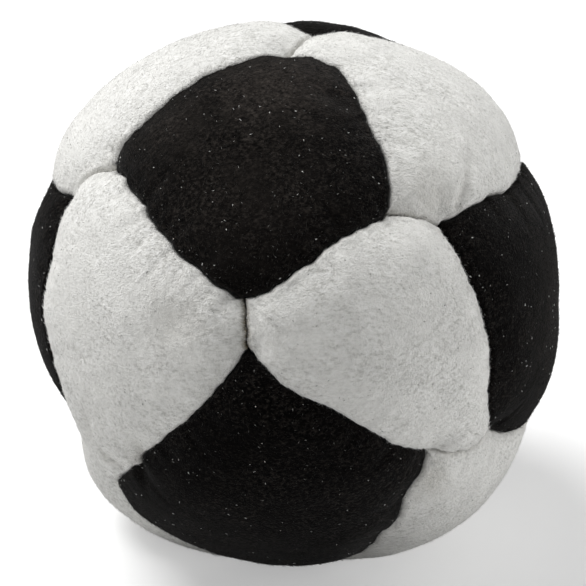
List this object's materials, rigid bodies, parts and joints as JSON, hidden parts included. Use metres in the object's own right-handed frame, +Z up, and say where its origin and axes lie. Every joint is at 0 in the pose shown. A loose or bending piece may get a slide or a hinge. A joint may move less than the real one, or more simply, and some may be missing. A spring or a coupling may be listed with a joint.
{
  "type": "footbag",
  "caption": "Round hand-sewn suede footbag of black and white panels, with turned-in stitched seams and a pellet filling, for kicking and catching games.",
  "frame": {"origin": "the middle of the bounding box's underside, on the plane that the bag rests on", "axes": "+Z up, -Y towards the viewer of the picture, +X to the viewer's right; the panels lie as the bag came to rest, so no axis runs through the middle of a panel"},
  "size_m": [0.0512, 0.0528, 0.0501],
  "materials": {
    "black_suede": "napped suede",
    "white_suede": "napped suede",
    "thread": "twisted polyester, waxed",
    "pellets": "moulded pellets"
  },
  "bodies": {
    "root": {"black_top_front_panel": "black_suede", "black_low_front_panel": "black_suede", "black_left_panel": "black_suede", "black_right_panel": "black_suede", "black_high_back_panel": "black_suede", "black_low_back_panel": "black_suede", "white_top_left_panel": "white_suede", "white_top_right_panel": "white_suede", "white_front_left_panel": "white_suede", "white_front_right_panel": "white_suede", "white_bottom_left_panel": "white_suede", "white_bottom_right_panel": "white_suede", "white_back_left_panel": "white_suede", "white_back_right_panel": "white_suede", "thread_top_front_to_top_left": "thread", "thread_top_front_to_top_right": "thread", "thread_top_front_to_front_left": "thread", "thread_top_front_to_front_right": "thread", "thread_low_front_to_front_left": "thread", "thread_low_front_to_front_right": "thread", "thread_low_front_to_bottom_left": "thread", "thread_low_front_to_bottom_right": "thread", "thread_left_to_top_left": "thread", "thread_left_to_front_left": "thread", "thread_left_to_bottom_left": "thread", "thread_left_to_back_left": "thread", "thread_right_to_top_right": "thread", "thread_right_to_front_right": "thread", "thread_right_to_bottom_right": "thread", "thread_right_to_back_right": "thread", "thread_high_back_to_top_left": "thread", "thread_high_back_to_top_right": "thread", "thread_high_back_to_back_left": "thread", "thread_high_back_to_back_right": "thread", "thread_low_back_to_bottom_left": "thread", "thread_low_back_to_bottom_right": "thread", "thread_low_back_to_back_left": "thread", "thread_low_back_to_back_right": "thread", "thread_front_left_to_front_right": "thread", "thread_top_left_to_front_left": "thread", "thread_top_right_to_front_right": "thread", "thread_top_left_to_top_right": "thread", "thread_front_left_to_bottom_left": "thread", "thread_front_right_to_bottom_right": "thread", "thread_bottom_left_to_bottom_right": "thread", "thread_top_left_to_back_left": "thread", "thread_bottom_left_to_back_left": "thread", "thread_top_right_to_back_right": "thread", "thread_bottom_right_to_back_right": "thread", "thread_back_left_to_back_right": "thread", "pellet_filling": "pellets"}
  },
  "joints": []
}
